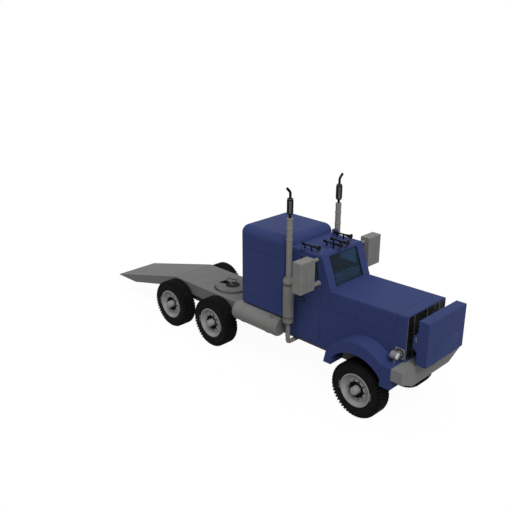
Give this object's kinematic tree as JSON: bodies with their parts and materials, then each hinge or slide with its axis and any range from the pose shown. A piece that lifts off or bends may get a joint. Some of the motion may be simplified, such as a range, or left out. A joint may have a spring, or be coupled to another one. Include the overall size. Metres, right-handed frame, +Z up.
{
  "type": "semi truck tractor unit",
  "caption": "Conventional-cab tractor unit with sleeper, tandem axles, fifth wheel on a plated deck, tail ramp, nose chest, twin stacks, opening doors and hood.",
  "frame": {"origin": "on the ground under the middle of the overall length, on the centre line", "axes": "+X towards the nose, +Y to the driver's left, +Z up"},
  "size_m": [9.171, 2.428, 4.0042],
  "materials": {
    "body_blue": "satin",
    "chassis": "matte",
    "spring_steel": "matte",
    "deck_plate": "matte",
    "coupler": "matte",
    "engine_iron": "matte",
    "radiator_core": "matte",
    "grille_black": "satin",
    "trim_grey": "satin",
    "lamp_glass": "gloss",
    "bumper_grey": "satin",
    "glass": "gloss",
    "horn_black": "gloss",
    "upholstery": "matte",
    "dash_plastic": "matte",
    "black_plastic": "satin",
    "tank_alloy": "satin",
    "stack_metal": "satin",
    "rim_steel": "satin",
    "tyre": "matte",
    "mirror_grey": "satin"
  },
  "bodies": {
    "root": {"frame_rails": "chassis", "front_axle": "chassis", "drive_axles": "chassis", "leaf_springs": "spring_steel", "deck": "deck_plate", "tail_ramp": "deck_plate", "fifth_wheel_base": "coupler", "engine": "engine_iron", "radiator": "radiator_core", "grille_shell": "body_blue", "grille": "grille_black", "engine_bay": "body_blue", "fenders": "body_blue", "headlamps": "trim_grey", "headlamp_lenses": "lamp_glass", "bumper": "bumper_grey", "nose_chest": "body_blue", "cab": "body_blue", "windscreen": "glass", "air_horns": "horn_black", "sleeper": "body_blue", "bunk": "upholstery", "dashboard": "dash_plastic", "seats": "upholstery", "steering_wheel": "black_plastic", "fuel_tanks": "tank_alloy", "exhaust_stacks": "stack_metal"},
    "wheel_front_left": {"rim_front_left": "rim_steel", "tyre_front_left": "tyre"},
    "wheel_front_right": {"rim_front_right": "rim_steel", "tyre_front_right": "tyre"},
    "wheel_mid_left": {"rim_mid_left": "rim_steel", "tyre_mid_left": "tyre"},
    "wheel_mid_right": {"rim_mid_right": "rim_steel", "tyre_mid_right": "tyre"},
    "wheel_rear_left": {"rim_rear_left": "rim_steel", "tyre_rear_left": "tyre"},
    "wheel_rear_right": {"rim_rear_right": "rim_steel", "tyre_rear_right": "tyre"},
    "knuckle_left": {"knuckle_left": "chassis"},
    "door_left": {"door_left": "body_blue", "door_glass_left": "glass", "mirror_left": "mirror_grey"},
    "knuckle_right": {"knuckle_right": "chassis"},
    "door_right": {"door_right": "body_blue", "door_glass_right": "glass", "mirror_right": "mirror_grey"},
    "hood": {"hood_lid": "body_blue"},
    "chest_lid": {"chest_lid": "body_blue"},
    "coupler_plate": {"fifth_wheel_plate": "coupler"}
  },
  "joints": [
    {"name": "steer_left", "type": "hinge", "parent": "root", "child": "knuckle_left", "pos_m": [3.3675, 0.6, 0.51], "axis": [0, 0, 1], "range_deg": [-25, 25]},
    {"name": "steer_right", "type": "hinge", "parent": "root", "child": "knuckle_right", "pos_m": [3.3675, -0.6, 0.51], "axis": [0, 0, 1], "range_deg": [-25, 25]},
    {"name": "roll_front_left", "type": "hinge", "parent": "knuckle_left", "child": "wheel_front_left", "pos_m": [3.3675, 0.75, 0.55], "axis": [0, 1, 0], "continuous": true},
    {"name": "roll_front_right", "type": "hinge", "parent": "knuckle_right", "child": "wheel_front_right", "pos_m": [3.3675, -0.75, 0.55], "axis": [0, 1, 0], "continuous": true},
    {"name": "roll_mid_left", "type": "hinge", "parent": "root", "child": "wheel_mid_left", "pos_m": [-0.5955, 0.75, 0.55], "axis": [0, 1, 0], "continuous": true},
    {"name": "roll_mid_right", "type": "hinge", "parent": "root", "child": "wheel_mid_right", "pos_m": [-0.5955, -0.75, 0.55], "axis": [0, 1, 0], "continuous": true},
    {"name": "roll_rear_left", "type": "hinge", "parent": "root", "child": "wheel_rear_left", "pos_m": [-2.0035, 0.75, 0.55], "axis": [0, 1, 0], "continuous": true},
    {"name": "roll_rear_right", "type": "hinge", "parent": "root", "child": "wheel_rear_right", "pos_m": [-2.0035, -0.75, 0.55], "axis": [0, 1, 0], "continuous": true},
    {"name": "door_left_hinge", "type": "hinge", "parent": "root", "child": "door_left", "pos_m": [2.25, 0.622, 1.62], "axis": [0, 0, -1], "range_deg": [0, 65]},
    {"name": "door_right_hinge", "type": "hinge", "parent": "root", "child": "door_right", "pos_m": [2.25, -0.622, 1.62], "axis": [0, 0, 1], "range_deg": [0, 65]},
    {"name": "hood_hinge", "type": "hinge", "parent": "root", "child": "hood", "pos_m": [2.4925, 0, 2.171], "axis": [0, -1, 0], "range_deg": [0, 52]},
    {"name": "chest_lid_hinge", "type": "hinge", "parent": "root", "child": "chest_lid", "pos_m": [4.3735, 0, 1.978], "axis": [0, -1, 0], "range_deg": [0, 65]},
    {"name": "coupler_pitch", "type": "hinge", "parent": "root", "child": "coupler_plate", "pos_m": [-0.8325, 0, 1.01], "axis": [0, 1, 0], "range_deg": [-11, 11]}
  ],
  "couplings": [
    {"joint": "steer_right", "follows": "steer_left", "ratio": 1}
  ]
}
